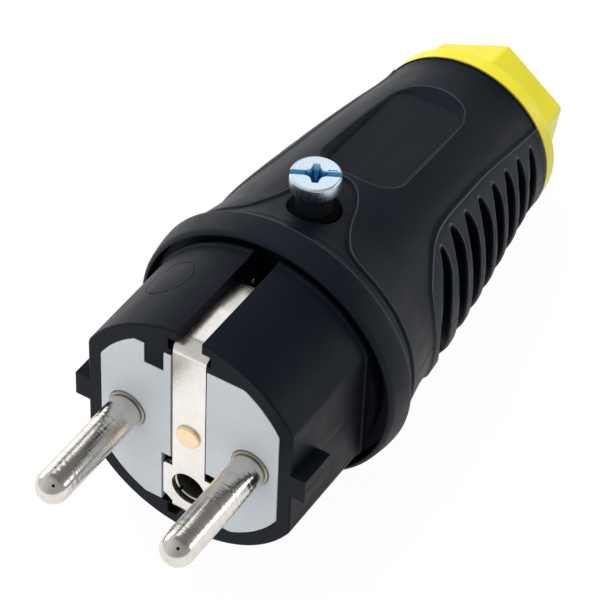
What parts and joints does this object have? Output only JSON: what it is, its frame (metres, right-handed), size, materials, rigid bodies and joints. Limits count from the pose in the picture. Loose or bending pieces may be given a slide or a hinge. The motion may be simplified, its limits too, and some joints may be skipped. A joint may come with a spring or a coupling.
{
  "type": "industrial plug",
  "caption": "Straight two-pin earthed mains plug: flatted front shell with grey contact plate, round pins, ribbed grip housing, closing screw and hexagonal cable gland nut.",
  "frame": {"origin": "plug axis in the plane of the front shell's rim, midway between the two pins", "axes": "-Y out of the pin face, +Y towards the cable entry, +Z towards the closing screw, +X towards the right pin seen from the pin face"},
  "size_m": [0.0406, 0.0991, 0.0441],
  "materials": {
    "shell_black": "fine satin moulded black",
    "housing_black": "fine grained moulded black",
    "plate_grey": "light blue-grey moulded",
    "pin_nickel": "nickel plated, turned",
    "strip_nickel": "nickel plated sheet",
    "rivet_copper": "copper, peened",
    "brass_bare": "machined",
    "spring_steel": "stamped",
    "screw_zinc": "blue zinc plated",
    "seal_rubber": "moulded rubber",
    "cage_grey": "moulded",
    "nut_yellow": "satin yellow moulded"
  },
  "bodies": {
    "plug": {"front_shell": "shell_black", "contact_plate": "plate_grey", "pin_left": "pin_nickel", "pin_right": "pin_nickel", "terminal_screw_left": "screw_zinc", "terminal_screw_right": "screw_zinc", "earth_strip": "strip_nickel", "earth_rivet": "rivet_copper", "earth_socket": "strip_nickel", "socket_spring": "spring_steel", "earth_terminal": "brass_bare", "earth_screw": "screw_zinc", "grip_housing": "housing_black", "collar_seal": "seal_rubber", "threaded_bush": "brass_bare", "gland_seal": "seal_rubber", "clamp_cage": "cage_grey"},
    "screw_carriage": {"screw_washer": "spring_steel"},
    "screw": {"closing_screw": "screw_zinc"},
    "nut_carriage": {"thrust_ring": "spring_steel"},
    "nut": {"gland_nut": "nut_yellow"}
  },
  "joints": [
    {"name": "screw_feed", "type": "slide", "parent": "plug", "child": "screw_carriage", "axis": [0, 0, 1], "range_m": [-0.0042, 0.004]},
    {"name": "screw_turn", "type": "hinge", "parent": "screw_carriage", "child": "screw", "pos_m": [0, 0.0295, 0.018], "axis": [0, 0, 1], "range_deg": [-2160.1, 2057.3]},
    {"name": "gland_feed", "type": "slide", "parent": "plug", "child": "nut_carriage", "axis": [0, 1, 0], "range_m": [0, 0.006]},
    {"name": "gland_turn", "type": "hinge", "parent": "nut_carriage", "child": "nut", "pos_m": [0, 0.0755, 0], "axis": [0, 1, 0], "range_deg": [0, 1080.2]}
  ],
  "couplings": [
    {"joint": "screw_turn", "follows": "screw_feed", "rad_per_m": 8976},
    {"joint": "gland_turn", "follows": "gland_feed", "rad_per_m": 3141.6}
  ]
}
